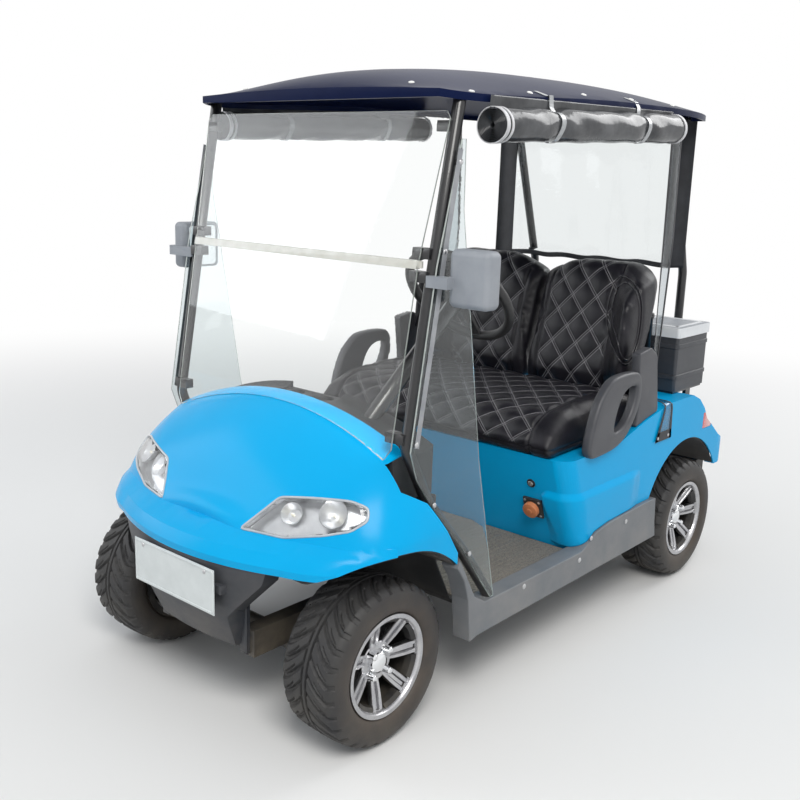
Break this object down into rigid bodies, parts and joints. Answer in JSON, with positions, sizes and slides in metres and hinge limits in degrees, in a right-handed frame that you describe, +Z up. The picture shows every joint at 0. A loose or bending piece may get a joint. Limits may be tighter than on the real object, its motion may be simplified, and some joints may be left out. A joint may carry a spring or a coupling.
{
  "type": "golf cart",
  "caption": "Electric golf cart with a bench for two riders, a roof on tube struts, a folding clear windscreen, rolled side curtains, a bag well and a cooler behind the seat.",
  "frame": {"origin": "on the ground, on the centre line, midway along the whole length", "axes": "+Z up, the nose towards -Y, +X to the cart's own left"},
  "size_m": [1.294, 2.383, 1.8381],
  "materials": {
    "blue_body": "glossy painted body panels",
    "black_roof": "glossy",
    "clear_screen": "clear",
    "clear_vinyl": "clear soft sheet",
    "black_steel": "satin paint",
    "frame_steel": "satin paint",
    "axle_iron": "dull",
    "motor_iron": "dull paint",
    "tyre_black": "dull",
    "alloy": "machined",
    "grey_trim": "grained",
    "black_trim": "grained",
    "charcoal": "grained",
    "battery_case": "moulded",
    "mat_rubber": "speckled",
    "black_vinyl": "stitched",
    "lamp_clear": "clear",
    "lamp_red": "glossy",
    "plate_white": "plain",
    "mirror_shell": "grained",
    "cooler_cloth": "woven",
    "grey_lid": "moulded"
  },
  "bodies": {
    "chassis": {"arch_liners": "black_trim", "armrests": "black_trim", "backrests": "black_vinyl", "bag_well": "black_trim", "battery_pack": "battery_case", "charge_port": "black_trim", "cooler_box": "cooler_cloth", "cooler_bracket": "black_steel", "corner_curtains": "clear_vinyl", "dashboard": "black_trim", "drive_motor": "motor_iron", "floor_mat": "mat_rubber", "floor_pan": "black_steel", "front_axle": "axle_iron", "front_bumper": "charcoal", "front_cowl": "blue_body", "front_struts": "black_steel", "headlamps": "lamp_clear", "ladder_frame": "frame_steel", "leaf_springs": "frame_steel", "mirrors": "mirror_shell", "number_plate": "plate_white", "pedals": "black_steel", "rear_axle": "axle_iron", "rear_body": "blue_body", "rear_bumper": "charcoal", "rear_curtain": "clear_vinyl", "rear_struts": "black_steel", "roof": "black_roof", "seat_cushion": "black_vinyl", "seat_frame": "black_steel", "side_covers": "black_trim", "side_curtain_rolls": "clear_vinyl", "side_sills": "grey_trim", "side_wings": "clear_screen", "steering_column": "black_steel", "tail_lamps": "lamp_red", "toe_board": "black_trim", "windscreen_hinge": "grey_trim", "windscreen_lower": "clear_screen", "windscreen_upper": "clear_screen"},
    "knuckle_left": {"knuckle_left": "axle_iron"},
    "knuckle_right": {"knuckle_right": "axle_iron"},
    "steering_wheel": {"steering_wheel": "black_trim"},
    "cooler_lid": {"cooler_lid": "grey_lid"},
    "wheel_front_left": {"tyre_front_left": "tyre_black", "rim_front_left": "alloy"},
    "wheel_front_right": {"tyre_front_right": "tyre_black", "rim_front_right": "alloy"},
    "wheel_rear_left": {"tyre_rear_left": "tyre_black", "rim_rear_left": "alloy"},
    "wheel_rear_right": {"tyre_rear_right": "tyre_black", "rim_rear_right": "alloy"}
  },
  "joints": [
    {"name": "steering_wheel_turn", "type": "hinge", "parent": "chassis", "child": "steering_wheel", "pos_m": [0.25, -0.2875, 1.146], "axis": [0, 0.766, 0.6428], "range_deg": [-400, 400]},
    {"name": "steer_left", "type": "hinge", "parent": "chassis", "child": "knuckle_left", "pos_m": [0.31, -0.8875, 0.2295], "axis": [0, 0, 1], "range_deg": [-30, 30]},
    {"name": "steer_right", "type": "hinge", "parent": "chassis", "child": "knuckle_right", "pos_m": [-0.31, -0.8875, 0.2295], "axis": [0, 0, 1], "range_deg": [-30, 30]},
    {"name": "spin_front_left", "type": "hinge", "parent": "knuckle_left", "child": "wheel_front_left", "pos_m": [0.438, -0.8875, 0.2295], "axis": [1, 0, 0], "continuous": true},
    {"name": "spin_front_right", "type": "hinge", "parent": "knuckle_right", "child": "wheel_front_right", "pos_m": [-0.438, -0.8875, 0.2295], "axis": [1, 0, 0], "continuous": true},
    {"name": "spin_rear_left", "type": "hinge", "parent": "chassis", "child": "wheel_rear_left", "pos_m": [0.486, 0.7925, 0.2295], "axis": [1, 0, 0], "continuous": true},
    {"name": "spin_rear_right", "type": "hinge", "parent": "chassis", "child": "wheel_rear_right", "pos_m": [-0.486, 0.7925, 0.2295], "axis": [1, 0, 0], "continuous": true},
    {"name": "cooler_lid_open", "type": "hinge", "parent": "chassis", "child": "cooler_lid", "pos_m": [0.27, 0.8775, 0.933], "axis": [0, -1, 0], "range_deg": [0, 95]}
  ],
  "couplings": [
    {"joint": "steer_left", "follows": "steering_wheel_turn", "ratio": 0.075},
    {"joint": "steer_right", "follows": "steering_wheel_turn", "ratio": 0.075}
  ]
}
